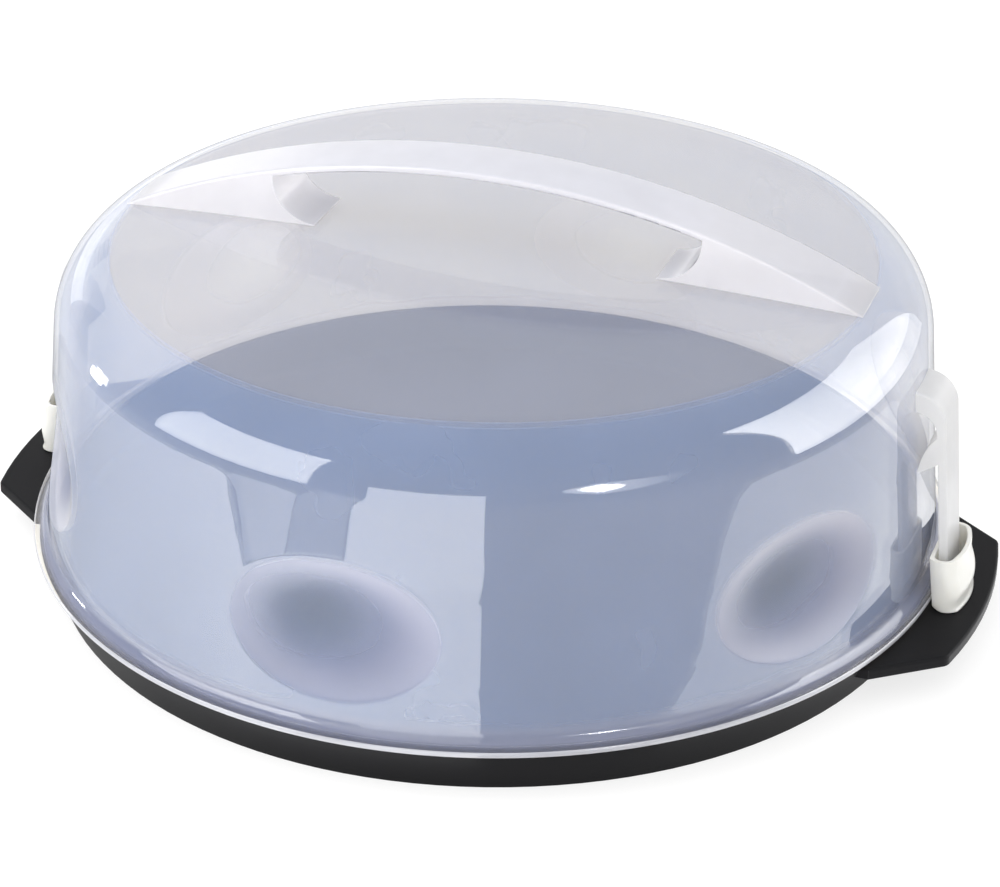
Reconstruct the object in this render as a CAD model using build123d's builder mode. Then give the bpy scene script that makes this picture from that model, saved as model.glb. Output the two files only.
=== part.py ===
from build123d import *
import os
from math import asin, cos, degrees, radians, sin, sqrt, tan

# Round cake carrier: a flat tray with an ear at each side, a clear domed lid with a carry arch,
# and a pivoting clip on each ear that ties a strap of the lid down to the tray.
# The frame stands on the table at the centre of the tray. +X runs through both ears, +Z is up.
os.makedirs("parts", exist_ok=True)

# ---- Lid: dome -------------------------------------------------------------------------------
lid_thickness = 2.0          # wall of the dome, everywhere
rim_radius = 165.0           # outer edge of the flat rim
rim_thickness = 2.3
rim_height = 16.4            # underside of the rim above the table
rim_edge_round = 0.8
rim_flare_radius = 4.5       # sweep from the rim up into the wall
rim_width = 4.8              # outer edge to the wall's face, level with the underside of the rim
wall_draft = 4.6             # degrees the wall leans in
wall_height = 81.8           # from the underside of the rim up to the shoulder
shoulder_radius = 25.5
crease_angle = 77.8          # degrees from level where the shoulder stops at a crisp ring
crown_rise = 3.15            # rise of the shallow cap above that ring

# ---- Lid: dished dimples in the wall ----------------------------------------------------------
dimple_count = 6
dimple_height = 49.0         # top to bottom
dimple_depth = 5.5
dimple_floor_radius = 550.0  # side to side the floor is nearly flat
dimple_centre_height = 53.0
dimple_tool_reach = 50.0     # half length of the scoop, well past the ends of a dimple
dimple_tool_proud = 2.0      # how far the scoop stands out of the wall

# ---- Lid: carry arch --------------------------------------------------------------------------
arch_width = 25.0
arch_rise = 28.2             # top of the arch above the top of the cap
arch_bar_thickness = 2.7
arch_overhang = 0.8          # the arch lands this far outside the crease ring
arch_toe = 0.3               # height of its blunt end above the ring
arch_sink = 4.0              # the feet are cut by the dome from stock that starts this far below the ring
arch_foot_length = 56.4      # from the landing to the window under the bar
arch_root_straight = 0.4     # between the bar and the hollow curve down to the cap
arch_feather = 0.3           # thickness left at the thin end of that curve
arch_edge_round = 1.0

# ---- Lid: straps ------------------------------------------------------------------------------
strap_width = 20.0
strap_thickness = 3.25
strap_gap = 6.9              # between the wall and the strap
strap_top_drop = 3.2         # along the wall, from the shoulder down to the top of the strap
strap_crook_drop = 3.9       # the inner bend starts this far below the outer one
strap_bend_inset = 1.2       # the bends are centred this far inside the wall's face
strap_edge_round = 0.8
bumper_top_drop = 1.4        # bumper between strap and wall: its levels below the inner bend
bumper_waist_drop = 7.2
bumper_waist_offset = 2.5
bumper_tip_drop = 13.4
bumper_tip_height = 1.7
bumper_bottom_drop = 11.4
bumper_clearance = 0.35

# ---- Clips ------------------------------------------------------------------------------------
clip_bottom_gap = 0.4        # clip above the ear
clip_height = 19.4
clip_rim_gap = 0.35          # back of the clip to the rim of the lid
clip_lean = 6.5              # degrees
clip_depth = 10.9            # back to front
clip_back_half_width = 13.2
clip_side_half_width = 15.2
clip_side_depth = 4.8        # where the sides are widest
clip_front_half_width = 11.8
clip_front_crown = 1.7       # swell of the front face
clip_wall = 1.4
clip_corner_share = 0.6      # of the wall, by which the hollow is narrower at its front corners
clip_floor = 1.5
clip_grip_heights = (3.8, 7.8, 12.8, 17.0)   # levels up the front face, above the clip's bottom
clip_grip_swells = (-0.1, 0.8, 0.0, 0.0)     # the grip ridge stands out at the second level
clip_relief_height = 0.8     # bevel under the back edge, so that the clip can rock
clip_relief_depth = 3.4
pin_radius = 1.5
pin_clearance = 0.06         # running fit of the strap's eye on the pin
pin_rise = 5.6               # axis above the underside of the lid's rim
knuckle_radius = 2.9
knuckle_offset = 1.9         # the eye sits this far in front of the strap's middle
knuckle_mouth = 2.5          # the eye snaps over the pin through this slot
tongue_width = 16.0
tongue_thickness = 2.2
tongue_length = 9.0          # below the clip's floor
tongue_corner_round = 0.55
clip_swing = 9.0             # degrees of rocking

# ---- Tray -------------------------------------------------------------------------------------
tray_inset = 1.7             # the tray's edge stands this far inside the lid's rim
tray_flare = 6.4             # and its foot this far inside the edge
tray_wall = 2.4
tray_floor = 2.2
tray_recess = 1.5            # the floor is held this far off the table by a foot ring
foot_ring_width = 4.4
seat_gap = 0.3               # lid rim above the tray's edge
groove_floor_height = 7.0    # the groove round the tray that the lid's rim covers
rib_clearance = 1.9          # locating rib to the inside of the dome
rib_thickness = 2.0
rib_top_above_rim = 6.1      # above the underside of the lid's rim
tray_corner_round = 3.0
tray_edge_round = 0.6
ear_length = 19.2            # beyond the tray's edge
ear_corner_half_width = 42.0
ear_root_half_width = 59.7
ear_root_outside = 2.3       # the ear's sides meet the tray this far outside its rim
ear_drop = 1.6               # top of the ear below the underside of the lid's rim
ear_depth = 3.8              # full height of the ear's edge
ear_plate = 2.4
ear_skirt = 2.2
ear_corner_round = 4.0
ear_edge_round = 1.0
slot_clearance = 0.3

# ---- Places worked out from the sizes ---------------------------------------------------------
draft = radians(wall_draft)
wall_foot_radius = rim_radius - rim_width
shoulder_height = rim_height + wall_height


def wall_radius(height):
    """Outer radius of the dome's straight wall at a height."""
    return wall_foot_radius - (height - rim_height) * tan(draft)


shoulder_x = wall_radius(shoulder_height) - shoulder_radius * cos(draft)
shoulder_z = shoulder_height - shoulder_radius * sin(draft)
crease_radius = shoulder_x + shoulder_radius * cos(radians(crease_angle))
crease_height = shoulder_z + shoulder_radius * sin(radians(crease_angle))
crown_top = crease_height + crown_rise


def bow_height(x, top, land):
    """Height at x of a round arc that peaks over x = 0, at height top, and comes down to the point land."""
    land_x, land_height = land
    radius = (land_x**2 + (top - land_height) ** 2) / (2 * (top - land_height))
    return top - radius + sqrt(radius**2 - x**2)


def crown_height(x):
    """Height of the cap's surface at a distance from the axis."""
    return bow_height(x, crown_top, (crease_radius, crease_height))


def shoulder_point(angle, inset):
    """Point on the shoulder at an angle above level, moved in by the inset."""
    reach = shoulder_radius - inset
    return (shoulder_x + reach * cos(angle), shoulder_z + reach * sin(angle))


# ---- Dome -------------------------------------------------------------------------------------
def dome_section(inset, foot):
    """Half section of the dome as a solid form, moved in by the inset, standing on height foot."""
    crease_end = radians(crease_angle)
    with BuildSketch(Plane.XZ) as section:
        with BuildLine():
            wall_top = shoulder_point(draft, inset)
            crease = shoulder_point(crease_end, inset)
            wall_foot = (wall_radius(foot) - inset / cos(draft), foot)
            Line(wall_foot, wall_top)
            ThreePointArc(wall_top, shoulder_point((draft + crease_end) / 2, inset), crease)
            cap_top = crown_top - inset
            halfway = crease[0] / 2
            ThreePointArc(crease, (halfway, bow_height(halfway, cap_top, crease)), (0, cap_top))
            Polyline((0, cap_top), (0, foot), wall_foot)
        make_face()
    return section.sketch_local


with BuildPart() as dome_form:
    with BuildSketch(Plane.XZ) as form_section:
        add(dome_section(0, rim_height))
        with Locations((rim_radius / 2, rim_height + rim_thickness / 2)):
            Rectangle(rim_radius, rim_thickness)
        rim_top = rim_height + rim_thickness
        fillet(form_section.vertices().sort_by_distance((wall_radius(rim_top), rim_top))[0], rim_flare_radius)
        for edge_height in (rim_height, rim_top):
            fillet(form_section.vertices().sort_by_distance((rim_radius, edge_height))[0], rim_edge_round)
    revolve(axis=Axis.Z)

dimple_arc_radius = ((dimple_height / 2) ** 2 + dimple_depth**2) / (2 * dimple_depth)


def scoop(grow):
    """Doughnut-shaped tool for one dimple, round its own axis, made larger all over by grow."""
    half_turn = degrees(asin(dimple_tool_reach / dimple_floor_radius))
    tube_radius = dimple_arc_radius + grow
    tube_x = dimple_arc_radius - dimple_floor_radius
    chord_x = dimple_depth + dimple_tool_proud - dimple_floor_radius
    half_chord = sqrt(tube_radius**2 - (chord_x - tube_x) ** 2)
    with BuildPart() as tool:
        with BuildSketch(Plane.XZ.rotated((0, 0, -half_turn))):
            with BuildLine():
                ThreePointArc((chord_x, -half_chord), (tube_x - tube_radius, 0), (chord_x, half_chord))
                Line((chord_x, half_chord), (chord_x, -half_chord))
            make_face()
        revolve(axis=Axis.Z, revolution_arc=2 * half_turn)
    return tool.part


def dimple_places():
    """Frames of the scoops: axis parallel to the leaning wall, just outside it."""
    places = []
    for index in range(dimple_count):
        around = Plane.XY.rotated((0, 0, (index + 0.5) * 360 / dimple_count))
        on_wall = around.from_local_coords((wall_radius(dimple_centre_height), 0, dimple_centre_height))
        outward = around.from_local_coords((cos(draft), 0, sin(draft)))
        upward = around.from_local_coords((-sin(draft), 0, cos(draft)))
        axis_point = on_wall + outward * (dimple_floor_radius - dimple_depth)
        places.append(Plane(origin=axis_point, x_dir=outward, z_dir=upward))
    return places


with BuildPart() as dimples:
    with Locations(*dimple_places()):
        add(scoop(0))

with BuildPart() as cake_space:
    with BuildSketch(Plane.XZ):
        add(dome_section(lid_thickness, rim_height - lid_thickness))
    revolve(axis=Axis.Z)
    with Locations(*dimple_places()):
        add(scoop(lid_thickness), mode=Mode.SUBTRACT)

with BuildPart() as lid_dome:
    add(dome_form.part)
    add(dimples.part, mode=Mode.SUBTRACT)
    add(cake_space.part, mode=Mode.SUBTRACT)
lid_dome.part.label = "lid_dome"
export_step(lid_dome.part, "parts/lid_dome.step")

# ---- Carry arch -------------------------------------------------------------------------------
arch_top = crown_top + arch_rise
arch_land = crease_radius + arch_overhang


def arch_height(x):
    """Height of the top of the arch at a distance from its middle."""
    return bow_height(x, arch_top, (arch_land, crease_height + arch_toe))


with BuildPart() as lid_handle:
    with BuildSketch(Plane.XZ):
        with BuildLine():
            bar_x = arch_land - arch_foot_length
            bar_z = arch_height(bar_x) - arch_bar_thickness
            root_z = bar_z - arch_root_straight
            foot_z = crown_height(bar_x - (root_z - crown_height(bar_x))) + arch_feather
            root_radius = root_z - foot_z
            root_mid = root_radius * sin(radians(45))
            foot_x = bar_x - root_radius
            sunk = crease_height - arch_sink
            toe_z = arch_height(arch_land)
            ThreePointArc((-arch_land, toe_z), (0, arch_top), (arch_land, toe_z))
            ThreePointArc((-bar_x, bar_z), (0, arch_top - arch_bar_thickness), (bar_x, bar_z))
            for side in (-1, 1):
                Polyline(
                    (side * arch_land, toe_z),
                    (side * arch_land, sunk),
                    (side * foot_x, sunk),
                    (side * foot_x, foot_z),
                )
                ThreePointArc(
                    (side * foot_x, foot_z),
                    (side * (foot_x + root_mid), root_z - root_mid),
                    (side * bar_x, root_z),
                )
                Line((side * bar_x, root_z), (side * bar_x, bar_z))
        make_face()
    extrude(amount=arch_width / 2, both=True)
    top_edges = lid_handle.edges().filter_by(GeomType.CIRCLE).sort_by(Edge.length)[-4:]
    fillet(top_edges, arch_edge_round)
    add(dome_form.part, mode=Mode.SUBTRACT)
lid_handle.part.label = "lid_handle"
export_step(lid_handle.part, "parts/lid_handle.step")

# ---- Straps -----------------------------------------------------------------------------------
# The strap's section is drawn in the wall's own lean: x out of the wall, y up along it,
# from the level of the pivot. Its foot is an eye that snaps over the clip's pin.
pin_height = rim_height + pin_rise
strap_inner = strap_gap * cos(draft)
strap_outer = strap_inner + strap_thickness
eye_x = (strap_inner + strap_outer) / 2 + knuckle_offset
strap_level = pin_height - eye_x * sin(draft)
strap_plane = Plane(
    origin=(wall_radius(strap_level), 0, strap_level),
    x_dir=(cos(draft), 0, sin(draft)),
    z_dir=(0, -1, 0),
)
pin_x = wall_radius(strap_level) + eye_x * cos(draft)

with BuildPart() as lid_strap_right:
    with BuildSketch(strap_plane):
        with BuildLine():
            outer_bend = strap_outer + strap_bend_inset
            inner_bend = strap_inner + strap_bend_inset
            bend_x = -strap_bend_inset
            bend_top = (shoulder_height - strap_level) / cos(draft) - strap_top_drop
            bend_height = bend_top - outer_bend
            crook_height = bend_height - strap_crook_drop
            tip_top = crook_height - bumper_tip_drop
            diagonal = sin(radians(45))
            crook_top = crook_height + inner_bend
            Line((strap_outer, 0), (strap_outer, bend_height))
            ThreePointArc(
                (strap_outer, bend_height),
                (bend_x + outer_bend * diagonal, bend_height + outer_bend * diagonal),
                (bend_x, bend_top),
            )
            Line((bend_x, bend_top), (bend_x, crook_top))
            ThreePointArc(
                (bend_x, crook_top),
                (bend_x + inner_bend * diagonal, crook_height + inner_bend * diagonal),
                (strap_inner, crook_height),
            )
            Line((strap_inner, crook_height), (strap_inner, crook_height - bumper_top_drop))
            ThreePointArc(
                (strap_inner, crook_height - bumper_top_drop),
                (bumper_waist_offset, crook_height - bumper_waist_drop),
                (bumper_clearance, tip_top),
            )
            Polyline(
                (bumper_clearance, tip_top),
                (bumper_clearance, tip_top - bumper_tip_height),
                (strap_inner, crook_height - bumper_bottom_drop),
                (strap_inner, 0),
                (strap_outer, 0),
            )
        make_face()
        with Locations((eye_x, 0)):
            Circle(knuckle_radius)
            Circle(pin_radius + pin_clearance, mode=Mode.SUBTRACT)
        with Locations((eye_x, -knuckle_radius / 2)):
            Rectangle(knuckle_mouth, knuckle_radius, mode=Mode.SUBTRACT)
    extrude(amount=strap_width / 2, both=True)
    long_edges = lid_strap_right.edges().filter_by(GeomType.LINE).sort_by(Edge.length)[-4:]
    fillet(long_edges, strap_edge_round)
    add(dome_form.part, mode=Mode.SUBTRACT)
lid_strap_right.part.label = "lid_strap_right"
export_step(lid_strap_right.part, "parts/lid_strap_right.step")

with BuildPart() as lid_strap_left:
    add(mirror(lid_strap_right.part, about=Plane.YZ, mode=Mode.PRIVATE))
lid_strap_left.part.label = "lid_strap_left"
export_step(lid_strap_left.part, "parts/lid_strap_left.step")

# ---- Clips ------------------------------------------------------------------------------------
ear_top = rim_height - ear_drop
clip_bottom = ear_top + clip_bottom_gap
rim_middle = rim_height + rim_thickness / 2
tray_rim_radius = rim_radius - tray_inset
ear_reach = tray_rim_radius + ear_length


def clip_back(height):
    """Distance of the clip's flat back from the axis at a height."""
    return rim_radius + clip_rim_gap - (height - rim_middle) * tan(radians(clip_lean))


def clip_outline(height, swell, inset):
    """D-shaped outline of the clip at a height: flat back, rounded sides and a gently swelled front."""
    back = clip_back(height) + inset
    front = clip_back(height) + clip_depth + swell - inset
    back_half = clip_back_half_width - inset
    front_half = clip_front_half_width - inset * clip_corner_share
    corner = front - clip_front_crown
    with BuildSketch(Plane.XY.offset(height)) as outline:
        with BuildLine():
            Line((back, -back_half), (back, back_half))
            ThreePointArc((corner, -front_half), (front, 0), (corner, front_half))
            for side in (-1, 1):
                ThreePointArc(
                    (back, side * back_half),
                    (clip_back(height) + clip_side_depth, side * (clip_side_half_width - inset)),
                    (corner, side * front_half),
                )
        make_face()
    return outline.sketch


clip_levels = (0, *clip_grip_heights, clip_height)
clip_swells = (0, *clip_grip_swells, 0)

with BuildPart() as clip_hollow:
    for level, swell in zip(clip_levels, clip_swells):
        add(clip_outline(clip_bottom + level, swell, clip_wall))
    loft()
    with BuildSketch(Plane.XY.offset(clip_bottom)):
        Rectangle(2 * ear_reach, 2 * clip_side_half_width)
    extrude(amount=clip_floor, mode=Mode.SUBTRACT)

with BuildPart() as clip_right:
    for level, swell in zip(clip_levels, clip_swells):
        add(clip_outline(clip_bottom + level, swell, 0))
    loft()
    add(clip_hollow.part, mode=Mode.SUBTRACT)
    with BuildSketch(Plane.XZ):
        with Locations((pin_x, pin_height)):
            Circle(pin_radius)
    extrude(amount=clip_side_half_width - clip_wall / 2, both=True)
    with BuildSketch(Plane.XY.offset(clip_bottom)):
        with Locations((pin_x, 0)):
            RectangleRounded(tongue_thickness, tongue_width, tongue_corner_round)
    extrude(amount=-tongue_length)
    with BuildSketch(Plane.XZ):
        with BuildLine():
            back_x = clip_back(clip_bottom)
            Polyline(
                (back_x + clip_relief_depth, clip_bottom),
                (back_x - clip_relief_depth, clip_bottom),
                (back_x - clip_relief_depth, clip_bottom + 2 * clip_relief_height),
                (back_x + clip_relief_depth, clip_bottom),
            )
        make_face()
    extrude(amount=clip_side_half_width, both=True, mode=Mode.SUBTRACT)
clip_right.part.label = "clip_right"
export_step(clip_right.part, "parts/clip_right.step")

with BuildPart() as clip_left:
    add(mirror(clip_right.part, about=Plane.YZ, mode=Mode.PRIVATE))
clip_left.part.label = "clip_left"
export_step(clip_left.part, "parts/clip_left.step")

# ---- Tray -------------------------------------------------------------------------------------
tray_foot_radius = tray_rim_radius - tray_flare
tray_rim_height = rim_height - seat_gap
ear_underside = ear_top - ear_depth
floor_top = tray_recess + tray_floor
rib_outer = wall_radius(rim_height) - lid_thickness / cos(draft) - rib_clearance
rib_inner = rib_outer - rib_thickness
rib_top = rim_height + rib_top_above_rim
tray_slope = (tray_rim_radius - tray_foot_radius) / tray_rim_height
ear_middle = ear_top - ear_depth / 2
ear_inner_radius = tray_foot_radius + ear_middle * tray_slope - tray_wall / 2   # inside the tray's wall
slot_sweep = (pin_height - ear_underside) * tan(radians(clip_swing))
slot_length = tongue_thickness + slot_sweep + 2 * slot_clearance
slot_middle = pin_x + slot_sweep / 2


def ear_outline(inset):
    """Plan of the right ear: an arc round the centre, two rounded corners and two straight sides."""
    corner_x = sqrt(ear_reach**2 - ear_corner_half_width**2)
    root_x = sqrt((tray_rim_radius + ear_root_outside) ** 2 - ear_root_half_width**2)
    with BuildSketch(Plane.XY) as plan:
        with BuildLine():
            ThreePointArc(
                (corner_x, -ear_corner_half_width),
                (ear_reach, 0),
                (corner_x, ear_corner_half_width),
            )
            Polyline(
                (corner_x, ear_corner_half_width),
                (root_x, ear_root_half_width),
                (root_x - ear_corner_half_width, ear_root_half_width),
                (root_x - ear_corner_half_width, -ear_root_half_width),
                (root_x, -ear_root_half_width),
                (corner_x, -ear_corner_half_width),
            )
        make_face()
        for side in (-1, 1):
            corner = plan.vertices().sort_by_distance((corner_x, side * ear_corner_half_width))[0]
            fillet(corner, ear_corner_round)
        if inset:
            offset(amount=-inset)
        Circle(ear_inner_radius + inset, mode=Mode.SUBTRACT)
    return plan.sketch_local


with BuildPart() as ears:
    for turn in (0, 180):
        with BuildSketch(Plane.XY.offset(ear_underside).rotated((0, 0, turn))):
            add(ear_outline(0))
        extrude(amount=ear_depth)
    top_edges = ears.edges().group_by(Axis.Z)[-1]
    fillet(top_edges.filter_by(lambda edge: (edge @ 0.5).length > tray_rim_radius), ear_edge_round)
    for turn in (0, 180):
        with BuildSketch(Plane.XY.offset(ear_underside).rotated((0, 0, turn))):
            add(ear_outline(ear_skirt))
        extrude(amount=ear_depth - ear_plate, mode=Mode.SUBTRACT)
        with BuildSketch(Plane.XY.offset(ear_underside).rotated((0, 0, turn))):
            with Locations((slot_middle, 0)):
                Rectangle(slot_length, tongue_width + 2 * slot_clearance)
        extrude(amount=ear_depth, mode=Mode.SUBTRACT)

with BuildPart() as base_tray:
    with BuildSketch(Plane.XZ) as tray_section:
        with BuildLine():
            ring_inner = tray_foot_radius - foot_ring_width
            groove_top = tray_rim_radius - tray_wall
            groove_bottom = groove_top - (tray_rim_height - groove_floor_height) * tray_slope
            Polyline(
                (0, tray_recess),
                (ring_inner, tray_recess),
                (ring_inner, 0),
                (tray_foot_radius, 0),
                (tray_rim_radius, tray_rim_height),
                (groove_top, tray_rim_height),
                (groove_bottom, groove_floor_height),
                (rib_outer, groove_floor_height),
                (rib_outer, rib_top),
                (rib_inner, rib_top),
                (rib_inner, floor_top),
                (0, floor_top),
                (0, tray_recess),
            )
        make_face()
        well_corner = tray_section.vertices().sort_by_distance((rib_inner, floor_top))[0]
        fillet(well_corner, tray_corner_round)
        for corner in (
            (tray_foot_radius, 0),
            (tray_rim_radius, tray_rim_height),
            (groove_top, tray_rim_height),
            (rib_outer, rib_top),
            (rib_inner, rib_top),
        ):
            fillet(tray_section.vertices().sort_by_distance(corner)[0], tray_edge_round)
    revolve(axis=Axis.Z)
    add(ears.part)
base_tray.part.label = "base_tray"
export_step(base_tray.part, "parts/base_tray.step")
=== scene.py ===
import bmesh
import bpy
from math import cos, hypot, pi, radians, sin, sqrt, tan
from mathutils import Matrix, Vector


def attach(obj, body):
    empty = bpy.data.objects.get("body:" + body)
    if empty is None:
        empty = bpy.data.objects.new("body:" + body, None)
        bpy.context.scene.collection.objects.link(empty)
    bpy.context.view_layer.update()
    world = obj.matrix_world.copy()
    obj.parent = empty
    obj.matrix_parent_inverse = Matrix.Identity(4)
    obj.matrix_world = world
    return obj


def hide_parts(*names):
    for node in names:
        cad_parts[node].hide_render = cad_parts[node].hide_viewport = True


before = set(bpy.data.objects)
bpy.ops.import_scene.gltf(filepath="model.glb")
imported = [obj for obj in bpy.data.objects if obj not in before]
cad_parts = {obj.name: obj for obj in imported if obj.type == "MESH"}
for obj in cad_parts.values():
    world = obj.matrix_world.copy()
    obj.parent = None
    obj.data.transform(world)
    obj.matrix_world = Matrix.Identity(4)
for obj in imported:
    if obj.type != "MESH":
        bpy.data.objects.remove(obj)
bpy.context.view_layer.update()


# ---- Tray -------------------------------------------------------------------------------------
# The flat tray with its two ears is one injection moulding in black polypropylene. Its tool
# surface is finely spark-eroded, so it is matte; a thin highlight along the moulded edges is painted
# into its colour.
GRAIN_WIDTH = 0.0008
GRAIN_DEPTH = 0.00004
HANDLING_PATCH = 0.035
TRAY_EDGE_ROUND = 0.0005
PLASTIC_IOR = 1.49


def linear(hex_colour):
    """An sRGB hex colour as linear RGBA."""
    channels = [int(hex_colour[i:i + 2], 16) / 255 for i in (1, 3, 5)]
    return (*[c / 12.92 if c <= 0.04045 else ((c + 0.055) / 1.055) ** 2.4 for c in channels], 1.0)


def add(material, kind, inputs=(), **settings):
    """Adds a node; inputs pairs a socket's name or number with a value or with the socket feeding it."""
    tree = material.node_tree
    node = tree.nodes.new(kind)
    for name, value in settings.items():
        setattr(node, name, value)
    for socket, value in dict(inputs).items():
        if isinstance(value, bpy.types.NodeSocket):
            tree.links.new(value, node.inputs[socket])
        else:
            node.inputs[socket].default_value = value
    return node


def new_material(name):
    """A material with an empty node tree."""
    material = bpy.data.materials.new(name)
    material.use_nodes = True
    material.node_tree.nodes.clear()
    return material


def finish_cad(node, material):
    """Gives a CAD node its finished material."""
    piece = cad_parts[node]
    piece.data.materials.clear()
    piece.data.materials.append(material)


# Spark-eroded black polypropylene: a soft grey sheen and no mirror image. The real pits are about
# 0.05 mm wide; they are drawn 0.8 mm wide, so that they show. Handling leaves patches about 35 mm
# wide that are a little duller, and a painted highlight lightens the colour along the rounded edges.
black_pp = new_material("black_polypropylene_spark_eroded")
place = add(black_pp, "ShaderNodeTexCoord")
erosion_grain = add(black_pp, "ShaderNodeTexNoise", {
    "Vector": place.outputs["Object"], "Scale": 1 / GRAIN_WIDTH, "Detail": 2.0})
handling = add(black_pp, "ShaderNodeTexNoise", {
    "Vector": place.outputs["Object"], "Scale": 1 / HANDLING_PATCH, "Detail": 3.0})
sheen_spread = add(black_pp, "ShaderNodeMapRange", {
    "Value": handling.outputs["Fac"], "To Min": 0.40, "To Max": 0.50})
rounded = add(black_pp, "ShaderNodeBevel", {"Radius": TRAY_EDGE_ROUND}, samples=4)
grain_bump = add(black_pp, "ShaderNodeBump", {
    "Height": erosion_grain.outputs["Fac"], "Strength": 0.35, "Distance": GRAIN_DEPTH,
    "Normal": rounded.outputs["Normal"]})
true_face = add(black_pp, "ShaderNodeNewGeometry")
along_normal = add(black_pp, "ShaderNodeVectorMath", {
    0: rounded.outputs["Normal"], 1: true_face.outputs["Normal"]}, operation="DOT_PRODUCT")
on_edge = add(black_pp, "ShaderNodeMapRange", {
    "Value": along_normal.outputs["Value"], "From Min": 0.98, "From Max": 0.75,
    "To Min": 0.0, "To Max": 0.55})
# Painted highlight: the base colour is lightened along the rounded edges.
painted_edge_highlight = add(black_pp, "ShaderNodeMix", {
    "Factor": on_edge.outputs["Result"], "A": linear("#19191b"), "B": linear("#77777b")},
    data_type="RGBA")
tray_shader = add(black_pp, "ShaderNodeBsdfPrincipled", {
    "Base Color": painted_edge_highlight.outputs["Result"], "Roughness": sheen_spread.outputs["Result"],
    "IOR": PLASTIC_IOR, "Specular IOR Level": 0.05, "Normal": grain_bump.outputs["Normal"]})
add(black_pp, "ShaderNodeOutputMaterial", {"Surface": tray_shader.outputs["BSDF"]})
finish_cad("base_tray", black_pp)


# ---- Lid dome ---------------------------------------------------------------------------------
# The dome is a clear but slightly milky polypropylene moulding, 2 mm thick, with a gloss outside,
# a crisp ring where the shallow cap starts and six dished dimples in the wall. Its flat rim rests
# on the tray.
LID_THICKNESS = 0.0020
RIM_RADIUS = 0.1650
RIM_UNDERSIDE = 0.0164
RIM_THICKNESS = 0.0023
RIM_EDGE_ROUND = 0.0008
RIM_INNER_ROUND = 0.0004
FLARE_RADIUS = 0.0045
WALL_FOOT_RADIUS = 0.1602
WALL_LEAN_DEGREES = 4.6
WALL_LEAN = radians(WALL_LEAN_DEGREES)
SHOULDER_HEIGHT = 0.0982
SHOULDER_RADIUS = 0.0255
RING_ANGLE = radians(77.8)
CAP_RISE = 0.00315
DIMPLE_COUNT = 6
DIMPLE_LENGTH = 0.0734
DIMPLE_HEIGHT = 0.0490
DIMPLE_DEPTH = 0.0055
DIMPLE_FLOOR_RADIUS = 0.550
DIMPLE_CENTRE = 0.0530
DIMPLE_EDGE_BLEND = 0.0006
DIMPLE_BAND_LOW, DIMPLE_BAND_HIGH = 0.0255, 0.0805
PLAIN_WALL_ROWS = (0.085, 0.090, 0.094)
INNER_FOOT_ROWS = (0.0185, 0.022)
EDGE_SEARCH_REACH = 0.045
WELD_DISTANCE = 2e-6
SHOULDER_STEPS = 24
CAP_STEPS = 30


def wall_radius(height, inset=0.0):
    """Radius of the leaning wall's outer face, or of the face that lies the inset inside it."""
    return WALL_FOOT_RADIUS - (height - RIM_UNDERSIDE) * tan(WALL_LEAN) - inset / cos(WALL_LEAN)


shoulder_r = wall_radius(SHOULDER_HEIGHT) - SHOULDER_RADIUS * cos(WALL_LEAN)
shoulder_z = SHOULDER_HEIGHT - SHOULDER_RADIUS * sin(WALL_LEAN)
ring_radius = shoulder_r + SHOULDER_RADIUS * cos(RING_ANGLE)
cap_top = shoulder_z + SHOULDER_RADIUS * sin(RING_ANGLE) + CAP_RISE
rim_top = RIM_UNDERSIDE + RIM_THICKNESS


def dome_rows(inset):
    """Rows (radius, height) of the shoulder and cap, up to just off the axis, and the cap's top."""
    reach = SHOULDER_RADIUS - inset
    rows = []
    for k in range(SHOULDER_STEPS + 1):
        angle = WALL_LEAN + (RING_ANGLE - WALL_LEAN) * k / SHOULDER_STEPS
        rows.append((shoulder_r + reach * cos(angle), shoulder_z + reach * sin(angle)))
    ring_r, ring_z = rows[-1]
    top = cap_top - inset
    sphere = (ring_r**2 + (top - ring_z) ** 2) / (2 * (top - ring_z))
    for k in range(1, CAP_STEPS):
        r = ring_r * (1 - k / CAP_STEPS)
        rows.append((r, top - sphere + sqrt(sphere**2 - r**2)))
    return rows, top


def dimpled(radius, around, height, inset):
    """Point of the wall at an angle and height, pressed in where the nearest dimple's scoop reaches."""
    pitch = 2 * pi / DIMPLE_COUNT
    centre = (around // pitch + 0.5) * pitch
    turn = around - centre
    arc = ((DIMPLE_HEIGHT / 2) ** 2 + DIMPLE_DEPTH**2) / (2 * DIMPLE_DEPTH) + inset
    out = radius * cos(turn) - wall_radius(DIMPLE_CENTRE)
    side = radius * sin(turn)
    up = height - DIMPLE_CENTRE
    normal = out * cos(WALL_LEAN) + up * sin(WALL_LEAN)
    along = up * cos(WALL_LEAN) - out * sin(WALL_LEAN)
    if abs(along) < arc:
        tube = DIMPLE_FLOOR_RADIUS - (arc - inset) + sqrt(arc**2 - along**2)
        floor = DIMPLE_FLOOR_RADIUS - DIMPLE_DEPTH - sqrt(tube**2 - side**2)
        gap = floor - normal
        if gap < DIMPLE_EDGE_BLEND:
            blend = max(DIMPLE_EDGE_BLEND - abs(gap), 0) / DIMPLE_EDGE_BLEND
            normal = min(floor, normal) - blend**2 * DIMPLE_EDGE_BLEND / 4
            out = normal * cos(WALL_LEAN) - along * sin(WALL_LEAN)
            up = normal * sin(WALL_LEAN) + along * cos(WALL_LEAN)
    out += wall_radius(DIMPLE_CENTRE)
    return Vector((out * cos(centre) - side * sin(centre),
                   out * sin(centre) + side * cos(centre), up + DIMPLE_CENTRE))


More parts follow.
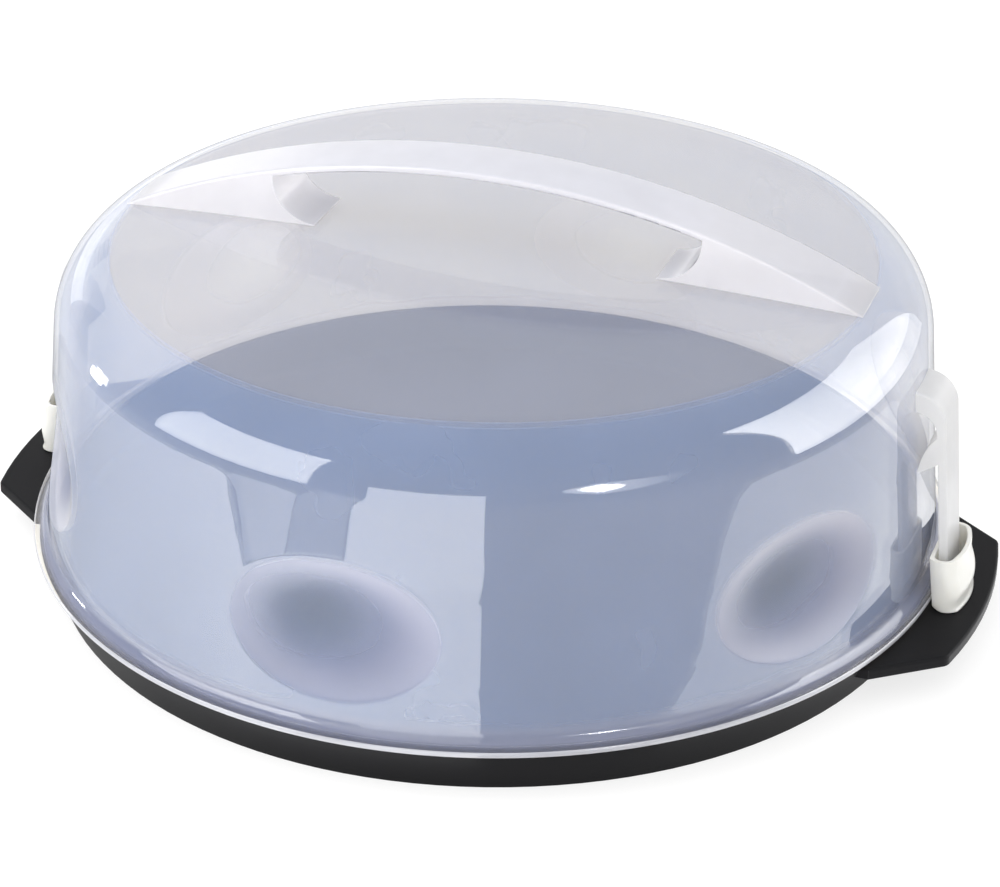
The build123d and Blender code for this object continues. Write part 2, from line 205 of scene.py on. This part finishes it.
def outline_reach(direction, inset):
    """Distance from a dimple's middle to its edge, along a direction on the wall."""
    pitch = pi / DIMPLE_COUNT
    near, far = 0.0, EDGE_SEARCH_REACH
    for _ in range(30):
        middle = (near + far) / 2
        turn = middle * direction[0] / wall_radius(DIMPLE_CENTRE)
        height = DIMPLE_CENTRE + middle * direction[1]
        radius = wall_radius(height, inset)
        pressed = dimpled(radius, pitch + turn, height, inset)
        plain = Vector((radius * cos(pitch + turn), radius * sin(pitch + turn), height))
        if (pressed - plain).length > DIMPLE_EDGE_BLEND / 4:
            near = middle
        else:
            far = middle
    return near


def add_ring_faces(mesh, rings):
    """Joins closed rings of vertices in order with four-sided faces."""
    for lower, upper in zip(rings, rings[1:]):
        for k in range(len(lower)):
            after = (k + 1) % len(lower)
            mesh.faces.new((lower[k], lower[after], upper[after], upper[k]))


def add_fan(mesh, middle, ring):
    """Closes a ring of vertices with triangles round a middle point."""
    hub = mesh.verts.new(middle)
    for k in range(len(ring)):
        mesh.faces.new((hub, ring[k], ring[(k + 1) % len(ring)]))


def add_turned(mesh, rows, columns=360):
    """Turns a profile of (radius, height) rows round the axis."""
    turns = [2 * pi * k / columns for k in range(columns)]
    rings = [[mesh.verts.new((radius * cos(turn), radius * sin(turn), height)) for turn in turns]
             for radius, height in rows]
    add_ring_faces(mesh, rings)
    return rings


def add_dimple_panels(mesh, inset, low, high, across=60, upright=16):
    """The band of wall that holds the dimples: in each panel the faces run round the dimple's edge."""
    pitch = 2 * pi / DIMPLE_COUNT
    middle_radius = wall_radius(DIMPLE_CENTRE)
    # A hair inside the panel, so that a point on its border belongs to this dimple.
    panel_side = pitch / 2 - 1e-9
    edge = [(pitch * (k / across - 0.5), low) for k in range(across)]
    edge += [(pitch / 2, low + (high - low) * k / upright) for k in range(upright)]
    edge += [(pitch * (0.5 - k / across), high) for k in range(across)]
    edge += [(-pitch / 2, high - (high - low) * k / upright) for k in range(upright)]
    spokes = []
    for turn, height in edge:
        out = Vector((turn * middle_radius, height - DIMPLE_CENTRE))
        reach = outline_reach(out.normalized(), inset)
        stops = [reach * share for share in (0.15, 0.35, 0.55, 0.72, 0.86)]
        stops += [reach + step for step in (-0.0022, -0.0013, -0.0006, 0.0, 0.0006, 0.0013, 0.0022)]
        last = stops[-1]
        stops += [last + (out.length - last) * share for share in (0.12, 0.3, 0.55, 0.8, 1.0)]
        spokes.append([out.normalized() * stop for stop in stops])
    for panel in range(DIMPLE_COUNT):
        centre = (panel + 0.5) * pitch
        rings = []
        for level in range(len(spokes[0])):
            ring = []
            for spoke in spokes:
                turn = spoke[level].x / middle_radius
                around = centre + min(max(turn, -panel_side), panel_side)
                height = DIMPLE_CENTRE + spoke[level].y
                ring.append(mesh.verts.new(dimpled(wall_radius(height, inset), around, height, inset)))
            rings.append(ring)
        add_ring_faces(mesh, rings)
        middle = dimpled(wall_radius(DIMPLE_CENTRE, inset), centre, DIMPLE_CENTRE, inset)
        add_fan(mesh, middle, rings[0])


def arc_rows(centre, radius, start, end, steps):
    """Rows along a round of the profile, between two angles in degrees."""
    angles = [radians(start + (end - start) * k / steps) for k in range(steps + 1)]
    return [(centre[0] + radius * cos(a), centre[1] + radius * sin(a)) for a in angles]


def piece_from(mesh, name, materials):
    """Closes a bmesh into an object with smooth faces that look outwards."""
    bmesh.ops.remove_doubles(mesh, verts=mesh.verts, dist=WELD_DISTANCE)
    bmesh.ops.recalc_face_normals(mesh, faces=mesh.faces)
    data = bpy.data.meshes.new(name)
    mesh.to_mesh(data)
    mesh.free()
    for face in data.polygons:
        face.use_smooth = True
    for material in materials:
        data.materials.append(material)
    piece = bpy.data.objects.new(name, data)
    bpy.context.scene.collection.objects.link(piece)
    return piece


def lid_dome_mesh():
    """The dome's outer face, rim and inner face as one closed skin."""
    mesh = bmesh.new()
    flare_height = rim_top + FLARE_RADIUS
    flare = (wall_radius(flare_height) + FLARE_RADIUS / cos(WALL_LEAN), flare_height)
    for inset in (0.0, LID_THICKNESS):
        upper = [(wall_radius(height, inset), height) for height in (DIMPLE_BAND_HIGH, *PLAIN_WALL_ROWS)]
        rows, top = dome_rows(inset)
        rings = add_turned(mesh, upper + rows)
        add_fan(mesh, (0, 0, top), rings[-1])
        add_dimple_panels(mesh, inset, DIMPLE_BAND_LOW, DIMPLE_BAND_HIGH)
    rim = [(wall_radius(DIMPLE_BAND_LOW), DIMPLE_BAND_LOW)]
    rim += arc_rows(flare, FLARE_RADIUS, 180 + WALL_LEAN_DEGREES, 270, 10)
    edge = RIM_RADIUS - RIM_EDGE_ROUND
    rim += arc_rows((edge, rim_top - RIM_EDGE_ROUND), RIM_EDGE_ROUND, 90, 0, 5)
    rim += arc_rows((edge, RIM_UNDERSIDE + RIM_EDGE_ROUND), RIM_EDGE_ROUND, 0, -90, 5)
    inner = (wall_radius(RIM_UNDERSIDE, LID_THICKNESS) + RIM_INNER_ROUND, RIM_UNDERSIDE + RIM_INNER_ROUND)
    rim += arc_rows(inner, RIM_INNER_ROUND, 270, 180 + WALL_LEAN_DEGREES, 4)
    inner_rows = (*INNER_FOOT_ROWS, DIMPLE_BAND_LOW)
    rim += [(wall_radius(height, LID_THICKNESS), height) for height in inner_rows]
    add_turned(mesh, rim)
    return mesh


# Milky polypropylene in general. The haze in the wall scatters some light back and passes some on,
# the rest goes straight through, and the skin mirrors the room, most of all at a grazing angle.
# The edge seen there is greyed, so that the outline holds against a white background.
PASSED_ON_SHARE = 0.45


def milky_plastic(material, haze_share, sent_back, let_through, mirror_level, mirror_roughness):
    """Joins haze, a clear part and a reflecting skin; each setting is a number, a colour or a socket."""
    scattered = add(material, "ShaderNodeBsdfDiffuse", {"Color": sent_back})
    passed_on = add(material, "ShaderNodeBsdfTranslucent", {"Color": let_through})
    milk = add(material, "ShaderNodeMixShader", {
        0: PASSED_ON_SHARE, 1: scattered.outputs["BSDF"], 2: passed_on.outputs["BSDF"]})
    clear = add(material, "ShaderNodeBsdfTransparent", {"Color": linear("#fffdf8")})
    body = add(material, "ShaderNodeMixShader", {
        0: haze_share, 1: clear.outputs["BSDF"], 2: milk.outputs["Shader"]})
    side = add(material, "ShaderNodeNewGeometry")
    ior = add(material, "ShaderNodeMapRange", {
        "Value": side.outputs["Backfacing"], "To Min": PLASTIC_IOR, "To Max": 1 / PLASTIC_IOR})
    mirror_share = add(material, "ShaderNodeFresnel", {"IOR": ior.outputs["Result"]})
    mirrored = add(material, "ShaderNodeMath", {
        0: mirror_share.outputs["Fac"], 1: mirror_level}, operation="MULTIPLY")
    edge_shade = add(material, "ShaderNodeMapRange", {
        "Value": mirror_share.outputs["Fac"], "From Min": 0.3, "From Max": 0.7,
        "To Min": 1.0, "To Max": 0.5})
    shine = add(material, "ShaderNodeBsdfGlossy", {
        "Color": edge_shade.outputs["Result"], "Roughness": mirror_roughness})
    skin = add(material, "ShaderNodeMixShader", {
        0: mirrored.outputs["Value"], 1: body.outputs["Shader"], 2: shine.outputs["BSDF"]})
    add(material, "ShaderNodeOutputMaterial", {"Surface": skin.outputs["Shader"]})


# Gloss-moulded natural polypropylene. Its crystals send blue light back and let warmer light
# through, so it looks bluish over black and neutral over white. The melt leaves patches of haze
# about 45 mm wide, and the haze is thicker at the foot. More haze on the ring of the cap paints a
# highlight there: a bright line for the light that the crease catches.
FLOW_PATCH = 0.045
RING_HALF_WIDTH = 0.0004
FOOT_TOP = 0.0265
SEAM_START, SEAM_END = RIM_RADIUS - 0.0034, RIM_RADIUS - 0.0014
milky_pp = new_material("natural_polypropylene_gloss_moulded")
place = add(milky_pp, "ShaderNodeTexCoord")
flow = add(milky_pp, "ShaderNodeTexNoise", {
    "Vector": place.outputs["Object"], "Scale": 1 / FLOW_PATCH, "Detail": 3.0})
haze = add(milky_pp, "ShaderNodeMapRange", {
    "Value": flow.outputs["Fac"], "From Min": 0.3, "From Max": 0.7, "To Min": 0.285, "To Max": 0.325})
flat = add(milky_pp, "ShaderNodeVectorMath", {
    0: place.outputs["Object"], 1: (1, 1, 0)}, operation="MULTIPLY")
from_axis = add(milky_pp, "ShaderNodeVectorMath", {0: flat.outputs["Vector"]}, operation="LENGTH")
in_cap = add(milky_pp, "ShaderNodeMapRange", {
    "Value": from_axis.outputs["Value"], "From Min": ring_radius - RING_HALF_WIDTH,
    "From Max": ring_radius + RING_HALF_WIDTH, "To Min": 1.0, "To Max": 0.0})
out_of_cap = add(milky_pp, "ShaderNodeMath", {
    0: 1.0, 1: in_cap.outputs["Result"]}, operation="SUBTRACT")
on_ring = add(milky_pp, "ShaderNodeMath", {
    0: in_cap.outputs["Result"], 1: out_of_cap.outputs["Value"]}, operation="MULTIPLY")
# Painted highlight: the ring of the cap gets more haze, so it shows as a bright line.
haze_and_ring_highlight = add(milky_pp, "ShaderNodeMath", {
    0: on_ring.outputs["Value"], 1: 0.4, 2: haze.outputs["Result"]}, operation="MULTIPLY_ADD")
# Painted light: the cap's haze is drawn greyer than the wall's. This stands for neutral light from above
# on the cap and bluish light from the front on the wall.
sent_back = add(milky_pp, "ShaderNodeMix", {
    "Factor": in_cap.outputs["Result"], "A": linear("#9bc0ff"), "B": linear("#a6b9e4")},
    data_type="RGBA")
axes = add(milky_pp, "ShaderNodeSeparateXYZ", {"Vector": place.outputs["Object"]})
foot = add(milky_pp, "ShaderNodeMapRange", {
    "Value": axes.outputs["Z"], "From Min": rim_top, "From Max": FOOT_TOP,
    "To Min": 1.0, "To Max": 0.0}, interpolation_type="SMOOTHSTEP")
footed = add(milky_pp, "ShaderNodeMath", {
    0: foot.outputs["Result"], 1: 0.08, 2: haze_and_ring_highlight.outputs["Value"]}, operation="MULTIPLY_ADD")
greyed_foot = add(milky_pp, "ShaderNodeMix", {
    "Factor": foot.outputs["Result"], "A": sent_back.outputs["Result"], "B": linear("#b7c2ea")},
    data_type="RGBA")

# The dimples are finely etched, so their gloss is dull. Painted shade: the haze thins towards a spot
# above and beside their middle, which darkens the part of the dished face that the light from the
# upper left reaches least. Painted light: the lip on the far side from that spot, where the light
# falls, is drawn greyer. The place in the nearest dimple is 0 in the middle, 1 at the edge.
SHADED_SPOT = (-0.22, 0.15, 0)
around = add(milky_pp, "ShaderNodeTexGradient", {
    "Vector": place.outputs["Object"]}, gradient_type="RADIAL")
panels = add(milky_pp, "ShaderNodeMath", {
    0: around.outputs["Fac"], 1: DIMPLE_COUNT}, operation="MULTIPLY")
panel_share = add(milky_pp, "ShaderNodeMath", {0: panels.outputs["Value"]}, operation="FRACT")
panel_width = 2 * pi / DIMPLE_COUNT * wall_radius(DIMPLE_CENTRE)
across = add(milky_pp, "ShaderNodeMapRange", {
    "Value": panel_share.outputs["Value"], "To Min": -panel_width / DIMPLE_LENGTH,
    "To Max": panel_width / DIMPLE_LENGTH})
upward = add(milky_pp, "ShaderNodeMapRange", {
    "Value": axes.outputs["Z"], "From Min": DIMPLE_CENTRE - DIMPLE_HEIGHT / 2,
    "From Max": DIMPLE_CENTRE + DIMPLE_HEIGHT / 2, "To Min": -1.0, "To Max": 1.0}, clamp=False)
in_panel = add(milky_pp, "ShaderNodeCombineXYZ", {
    "X": across.outputs["Result"], "Y": upward.outputs["Result"]})
to_edge = add(milky_pp, "ShaderNodeVectorMath", {0: in_panel.outputs["Vector"]}, operation="LENGTH")
etched = add(milky_pp, "ShaderNodeMapRange", {
    "Value": to_edge.outputs["Value"], "From Min": 0.97, "From Max": 1.03,
    "To Min": 1.0, "To Max": 0.0})
mirror_level = add(milky_pp, "ShaderNodeMapRange", {
    "Value": to_edge.outputs["Value"], "From Min": 0.45, "From Max": 1.0,
    "To Min": 0.3, "To Max": 1.0}, interpolation_type="SMOOTHSTEP")
# Painted shade: less haze towards the shaded spot darkens the dimple there.
from_shaded_spot = add(milky_pp, "ShaderNodeVectorMath", {
    0: in_panel.outputs["Vector"], 1: SHADED_SPOT}, operation="DISTANCE")
dimple_shade = add(milky_pp, "ShaderNodeMapRange", {
    "Value": from_shaded_spot.outputs["Value"], "From Min": 0.05, "From Max": 0.9,
    "To Min": 0.54, "To Max": 1.0}, interpolation_type="SMOOTHSTEP")
# Painted light: the lip away from the shaded spot is given a greyer colour.
toward_lit_lip = add(milky_pp, "ShaderNodeMapRange", {
    "Value": from_shaded_spot.outputs["Value"], "From Min": 0.2, "From Max": 0.9})
lit_lip = add(milky_pp, "ShaderNodeMath", {
    0: etched.outputs["Result"], 1: toward_lit_lip.outputs["Result"]}, operation="MULTIPLY")
haze_colour_with_lit_lip = add(milky_pp, "ShaderNodeMix", {
    "Factor": lit_lip.outputs["Value"], "A": greyed_foot.outputs["Result"], "B": linear("#adbff6")},
    data_type="RGBA")

# The flat of the rim loses its haze towards the outside, so that a dark line of tray shows there.
seam = add(milky_pp, "ShaderNodeMapRange", {
    "Value": from_axis.outputs["Value"], "From Min": SEAM_START, "From Max": SEAM_END,
    "To Min": 1.0, "To Max": 0.12})
at_seam = add(milky_pp, "ShaderNodeMath", {
    0: footed.outputs["Value"], 1: seam.outputs["Result"]}, operation="MULTIPLY")
haze_share = add(milky_pp, "ShaderNodeMath", {
    0: at_seam.outputs["Value"], 1: dimple_shade.outputs["Result"]}, operation="MULTIPLY")
mirror_roughness = add(milky_pp, "ShaderNodeMapRange", {
    "Value": etched.outputs["Result"], "To Min": 0.03, "To Max": 0.4})
milky_plastic(milky_pp, haze_share.outputs["Value"], haze_colour_with_lit_lip.outputs["Result"],
              linear("#fff4ea"), mirror_level.outputs["Result"], mirror_roughness.outputs["Result"])

# Edge of the rim in the same polypropylene: one looks along the thick plastic there, so it is white
# and hides nearly all that is behind it. Its patches of haze are about 30 mm wide.
RIM_EDGE_DEPTH = 0.0004
THICK_FLOW_PATCH = 0.030
rim_pp = new_material("natural_polypropylene_rim_edge")
place = add(rim_pp, "ShaderNodeTexCoord")
flow = add(rim_pp, "ShaderNodeTexNoise", {
    "Vector": place.outputs["Object"], "Scale": 1 / THICK_FLOW_PATCH, "Detail": 3.0})
haze = add(rim_pp, "ShaderNodeMapRange", {
    "Value": flow.outputs["Fac"], "From Min": 0.3, "From Max": 0.7, "To Min": 0.70, "To Max": 0.80})
milky_plastic(rim_pp, haze.outputs["Result"], linear("#eceef8"), linear("#f6f4f0"), 1.0, 0.08)

lid_dome = piece_from(lid_dome_mesh(), "lid_dome_skin", [milky_pp, rim_pp])
for face in lid_dome.data.polygons:
    if hypot(face.center.x, face.center.y) > RIM_RADIUS - RIM_EDGE_DEPTH:
        face.material_index = 1
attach(lid_dome, "lid")
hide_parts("lid_dome")


# ---- Carry arch and straps --------------------------------------------------------------------
# The carry arch and the two hooked straps are moulded in one with the dome, in the same milky
# polypropylene. They are solid and thick, so they look whiter and hide more of what is behind.

# Natural polypropylene, moulded thick: nearly white, and greyer where it faces up. The arch is glossy
# and fades out between two distances from the middle, where its toes run into the cap. The straps
# are duller and end before theirs, so they don't fade.
for name, nodes, (fade_start, fade_end), (side_colour, top_colour, through), level, roughness in (
        ("natural_polypropylene_carry_arch", ("lid_handle",), (0.124, 0.142),
         ("#f8f8ff", "#d8dae4", "#fffdfc"), 1.0, 0.10),
        ("natural_polypropylene_strap", ("lid_strap_left", "lid_strap_right"), (0.2, 0.3),
         ("#f4f5f8", "#eaebef", "#f2f1ee"), 0.35, 0.20)):
    thick_pp = new_material(name)
    place = add(thick_pp, "ShaderNodeTexCoord")
    flow = add(thick_pp, "ShaderNodeTexNoise", {
        "Vector": place.outputs["Object"], "Scale": 1 / THICK_FLOW_PATCH, "Detail": 3.0})
    haze = add(thick_pp, "ShaderNodeMapRange", {
        "Value": flow.outputs["Fac"], "From Min": 0.3, "From Max": 0.7,
        "To Min": 0.80, "To Max": 0.90})
    axes = add(thick_pp, "ShaderNodeSeparateXYZ", {"Vector": place.outputs["Object"]})
    aside = add(thick_pp, "ShaderNodeMath", {0: axes.outputs["X"]}, operation="ABSOLUTE")
    fade = add(thick_pp, "ShaderNodeMapRange", {
        "Value": aside.outputs["Value"], "From Min": fade_start, "From Max": fade_end,
        "To Min": 1.0, "To Max": 0.35})
    faded = add(thick_pp, "ShaderNodeMath", {
        0: haze.outputs["Result"], 1: fade.outputs["Result"]}, operation="MULTIPLY")
    facing = add(thick_pp, "ShaderNodeNewGeometry")
    slope = add(thick_pp, "ShaderNodeSeparateXYZ", {"Vector": facing.outputs["Normal"]})
    on_top = add(thick_pp, "ShaderNodeMapRange", {
        "Value": slope.outputs["Z"], "From Min": 0.5, "From Max": 0.95})
    sent_back = add(thick_pp, "ShaderNodeMix", {
        "Factor": on_top.outputs["Result"], "A": linear(side_colour), "B": linear(top_colour)},
        data_type="RGBA")
    milky_plastic(thick_pp, faded.outputs["Value"], sent_back.outputs["Result"], linear(through),
                  level, roughness)
    for node in nodes:
        finish_cad(node, thick_pp)


# ---- Clips ------------------------------------------------------------------------------------
# Each clip is a hollow moulding in ivory polypropylene that snaps on to the eye of its strap and
# reaches down into the ear. It is opaque but lets a little light in, so its mouth glows warm.
TONE_PATCH = 0.012
CLIP_EDGE_ROUND = 0.0006

# Ivory polypropylene with a satin moulded finish: two close tones in patches about 12 mm wide, a
# soft highlight and edges that look rounded.
ivory_pp = new_material("ivory_polypropylene_satin")
place = add(ivory_pp, "ShaderNodeTexCoord")
tone = add(ivory_pp, "ShaderNodeTexNoise", {
    "Vector": place.outputs["Object"], "Scale": 1 / TONE_PATCH, "Detail": 3.0})
tone_mix = add(ivory_pp, "ShaderNodeMix", {
    "Factor": tone.outputs["Fac"], "A": linear("#eae9e3"), "B": linear("#e5e4dd")},
    data_type="RGBA")
rounded = add(ivory_pp, "ShaderNodeBevel", {"Radius": CLIP_EDGE_ROUND}, samples=4)
ivory_shader = add(ivory_pp, "ShaderNodeBsdfPrincipled", {
    "Base Color": tone_mix.outputs["Result"], "Roughness": 0.32, "IOR": PLASTIC_IOR,
    "Subsurface Weight": 0.25, "Subsurface Radius": (0.0040, 0.0036, 0.0030),
    "Subsurface Scale": 1.0, "Normal": rounded.outputs["Normal"]})
add(ivory_pp, "ShaderNodeOutputMaterial", {"Surface": ivory_shader.outputs["BSDF"]})
for node in ("clip_left", "clip_right"):
    finish_cad(node, ivory_pp)


# ---- Table and light --------------------------------------------------------------------------
# A wide white table stands in an evenly lit white room, under three soft lamps. The lamps don't show
# in the gloss of the dome: bright sheets round the carrier do, and those light nothing else.
TABLE_HALF_WIDTH = 6.0
DOME_MIDDLE = Vector((0, 0, 0.06))


def stage_sheet(mesh, name, material):
    """Turns a bmesh into an object of its own, which is not attached to the carrier."""
    data = bpy.data.meshes.new(name)
    mesh.to_mesh(data)
    mesh.free()
    data.materials.append(material)
    sheet = bpy.data.objects.new(name, data)
    bpy.context.scene.collection.objects.link(sheet)
    return sheet


# White laminate: pale and even. To the eye, and seen in or through the dome, it is plain white with
# the carrier's shadow kept on it.
laminate = new_material("white_laminate")
seen = add(laminate, "ShaderNodeLightPath")
camera_or_gloss = add(laminate, "ShaderNodeMath", {
    0: seen.outputs["Is Camera Ray"], 1: seen.outputs["Is Glossy Ray"]}, operation="MAXIMUM")
direct = add(laminate, "ShaderNodeMath", {
    0: camera_or_gloss.outputs["Value"], 1: seen.outputs["Is Transmission Ray"]},
    operation="MAXIMUM")
plain = add(laminate, "ShaderNodeBsdfDiffuse", {"Color": linear("#e4e4e4")})
shadow_keeper = add(laminate, "ShaderNodeBsdfDiffuse", {"Color": linear("#969696")})
white = add(laminate, "ShaderNodeEmission", {"Color": (1, 1, 1, 1), "Strength": 0.76})
lit_white = add(laminate, "ShaderNodeAddShader", {
    0: shadow_keeper.outputs["BSDF"], 1: white.outputs["Emission"]})
shown = add(laminate, "ShaderNodeMixShader", {
    0: direct.outputs["Value"], 1: plain.outputs["BSDF"], 2: lit_white.outputs["Shader"]})
add(laminate, "ShaderNodeOutputMaterial", {"Surface": shown.outputs["Shader"]})
table_mesh = bmesh.new()
bmesh.ops.create_grid(table_mesh, x_segments=8, y_segments=8, size=TABLE_HALF_WIDTH)
stage_sheet(table_mesh, "table_top", laminate)

world = bpy.data.worlds.new("studio")
bpy.context.scene.world = world
world.use_nodes = True
world.node_tree.nodes.clear()
room = add(world, "ShaderNodeBackground", {"Color": (1, 1, 1, 1), "Strength": 1.0})
add(world, "ShaderNodeOutputWorld", {"Surface": room.outputs["Background"]})


def add_soft_box(name, azimuth, elevation, distance, width, height, radiance):
    """A rectangular lamp aimed at the dome; azimuth runs from the front (-Y) towards +X, in degrees."""
    lamp = bpy.data.lights.new(name, "AREA")
    lamp.shape = "RECTANGLE"
    lamp.size, lamp.size_y = width, height
    lamp.energy = radiance * width * height * pi
    box = bpy.data.objects.new(name, lamp)
    bpy.context.scene.collection.objects.link(box)
    turn, rise = radians(azimuth), radians(elevation)
    toward = Vector((sin(turn) * cos(rise), -cos(turn) * cos(rise), sin(rise)))
    box.location = DOME_MIDDLE + toward * distance
    box.rotation_euler = toward.to_track_quat("Z", "Y").to_euler()
    box.visible_camera = box.visible_glossy = False


add_soft_box("overhead", 0, 89, 1.6, 1.6, 1.6, 0.25)
add_soft_box("front", 5, 30, 1.8, 2.0, 1.4, 0.8)
add_soft_box("left_key", -75, 40, 1.8, 1.6, 1.6, 2.0)
STRIP_DEGREES = 3


def add_glow_card(name, edge, ramp, pivot=(0, 0, 0)):
    """A bright sheet round the dome that is seen in its gloss alone.

    The edge is a list of (turn, (reach, height), (reach, height), ...), with two or more points across
    the sheet at each turn. The ramp is two pairs of a turn round the pivot and the brightness there.
    Turns are in degrees from the front (-Y) towards +X.
    """
    mesh = bmesh.new()
    lines = []
    for (turn, *line), (next_turn, *next_line) in zip(edge, edge[1:]):
        steps = max(1, round((next_turn - turn) / STRIP_DEGREES))
        for k in range(steps + (next_turn == edge[-1][0])):
            share = k / steps
            angle = radians(turn + (next_turn - turn) * share)
            lines.append([mesh.verts.new((
                (here[0] * (1 - share) + there[0] * share) * sin(angle),
                -(here[0] * (1 - share) + there[0] * share) * cos(angle),
                here[1] * (1 - share) + there[1] * share)) for here, there in zip(line, next_line)])
    for left, right in zip(lines, lines[1:]):
        for k in range(len(left) - 1):
            mesh.faces.new((left[k], right[k], right[k + 1], left[k + 1]))
    (first_turn, first_level), (last_turn, last_level) = ramp
    glow = new_material(name + "_glow")
    place = add(glow, "ShaderNodeTexCoord")
    from_pivot = add(glow, "ShaderNodeVectorMath", {
        0: place.outputs["Object"], 1: pivot}, operation="SUBTRACT")
    from_front = add(glow, "ShaderNodeMapping", {
        "Vector": from_pivot.outputs["Vector"], "Rotation": (0, 0, pi / 2)})
    turned = add(glow, "ShaderNodeTexGradient", {
        "Vector": from_front.outputs["Vector"]}, gradient_type="RADIAL")
    level = add(glow, "ShaderNodeMapRange", {
        "Value": turned.outputs["Fac"], "From Min": first_turn / 360 + 0.5,
        "From Max": last_turn / 360 + 0.5, "To Min": first_level, "To Max": last_level})
    light = add(glow, "ShaderNodeEmission", {
        "Color": (1, 1, 1, 1), "Strength": level.outputs["Result"]})
    add(glow, "ShaderNodeOutputMaterial", {"Surface": light.outputs["Emission"]})
    card = stage_sheet(mesh, name, glow)
    card.visible_camera = card.visible_diffuse = card.visible_shadow = card.visible_transmission = False


# Bright paper on the table from the foot of the dome outwards: wide on the left, a short way out in
# front.
ON_TABLE = 0.001
near = (0.1665, ON_TABLE)
add_glow_card("left_paper", [(turn, near, (reach, ON_TABLE)) for turn, reach in (
    (-105, 0.50), (-42, 0.50), (-38, 0.43), (-35.6, 0.369), (-28, 0.300), (-19, 0.316),
    (-7, 0.338), (17.6, 0.330))], ((-110, 1.0), (-50, 4.9)), pivot=(-0.010, -0.145, 0))

# Two dim cards, one above the other, stand behind on the left.
for name, low, high, ramp in (
        ("back_sweep", 0.10, 0.36, ((-165, 1.0), (-125, 2.0))),
        ("back_sweep_high", 0.36, 0.70, ((-165, 1.0), (-122, 1.3)))):
    add_glow_card(name, [(turn, (1.3, low), (1.3, high)) for turn in (-179, -116)], ramp)

# A strip and a wedge of paper lie beyond the first sheet. Each span is (turn, start, end).
for name, spans, ramp in (
        ("left_strip", ((-37.5, 0.42, 0.55), (-28, 0.31, 0.55), (-21, 0.33, 0.45)),
         ((-37, 3.0), (-21, 3.6))),
        ("left_gap", ((-20.5, 0.33, 0.9), (-9.5, 0.34, 0.9)), ((-20, 2.2), (-9, 2.2)))):
    add_glow_card(name, [(turn, (start, ON_TABLE), (end, ON_TABLE)) for turn, start, end in spans], ramp)

# A card sweeps up from the table in front.
front_curve = ((0.33, ON_TABLE), (0.70, ON_TABLE), (1.00, 0.01), (1.15, 0.06), (1.2, 0.14), (1.2, 0.32))
add_glow_card("front_band", [(-9, *front_curve), (17.6, *front_curve)], ((-9, 5.4), (17.6, 5.4)))

# Paper on the table on the right; its front edge is cut straight, parallel to X.
FRONT_CUT = 0.145
RIGHT_REACH = 0.45
right_edge = [(turn, near, (FRONT_CUT / cos(radians(turn)), ON_TABLE)) for turn in (40, 47, 55, 65)]
right_edge += [(turn, near, (RIGHT_REACH, ON_TABLE)) for turn in (80, 100, 120)]
add_glow_card("right_paper", right_edge, ((80, 2.8), (120, 1.6)))

# A window on the left, and one on the right above a card that sweeps up from the table.
left_pane = ((1.2, 0.09), (1.2, 0.93))
right_curve = ((1.0, ON_TABLE), (1.15, 0.06), (1.2, 0.26))
add_glow_card("left_window", [(-66, *left_pane), (-23, *left_pane)], ((-66, 6.5), (-23, 7.5)))
add_glow_card("right_sweep", [(92, *right_curve), (152, *right_curve)], ((95, 9.5), (141, 2.0)))
add_glow_card("right_window", [
    (92, (1.2, 0.26), (1.2, 1.38)), (152, (1.2, 0.26), (1.2, 0.94))], ((95, 9.5), (145, 3.2)))

# Three small lamps: a bulb before its oval reflector, and one on the left. Each span is (turn,
# lowest point, highest point).
for name, reach, spans, ramp in (
        ("lamp_reflector", 1.11, ((34.5, 0.36, 0.37), (38, 0.29, 0.44), (44, 0.22, 0.50),
                                  (52, 0.24, 0.48), (65, 0.34, 0.40)), ((45, 5.0), (64, 1.5))),
        ("lamp_bulb", 1.10, ((38.5, 0.36, 0.37), (40.5, 0.31, 0.42), (44, 0.27, 0.46),
                             (47.5, 0.31, 0.42), (49.5, 0.36, 0.37)), ((42, 26.0), (53, 26.0))),
        ("side_lamp", 1.1, ((-93, 0.02, 0.15), (-87, 0.02, 0.15)), ((-93, 22.0), (-87, 22.0)))):
    add_glow_card(name, [(turn, (reach, low), (reach, high)) for turn, low, high in spans], ramp)


# ---- Camera -----------------------------------------------------------------------------------
# A long lens looks down on the carrier from the front, a little from the right, so that the tray
# shows through the cap and both ears are in view.
CAMERA_PLACE = (0.3402, -0.9813, 0.5970)
camera_data = bpy.data.cameras.new("camera")
camera_data.lens = 117.93
camera_data.sensor_width = 36.0
camera_data.clip_end = 30.0
camera = bpy.data.objects.new("camera", camera_data)
bpy.context.scene.collection.objects.link(camera)
azimuth, elevation, roll = radians(18.98), radians(28.10), radians(0.56)
back = Vector((sin(azimuth) * cos(elevation), -cos(azimuth) * cos(elevation), sin(elevation)))
level = Vector((cos(azimuth), sin(azimuth), 0))
upright = back.cross(level)
right = level * cos(roll) + upright * sin(roll)
up = upright * cos(roll) - level * sin(roll)
orientation = Matrix((right, up, back)).transposed().to_4x4()
camera.matrix_world = Matrix.Translation(CAMERA_PLACE) @ orientation
bpy.context.scene.camera = camera
bpy.context.scene.view_settings.view_transform = "Standard"
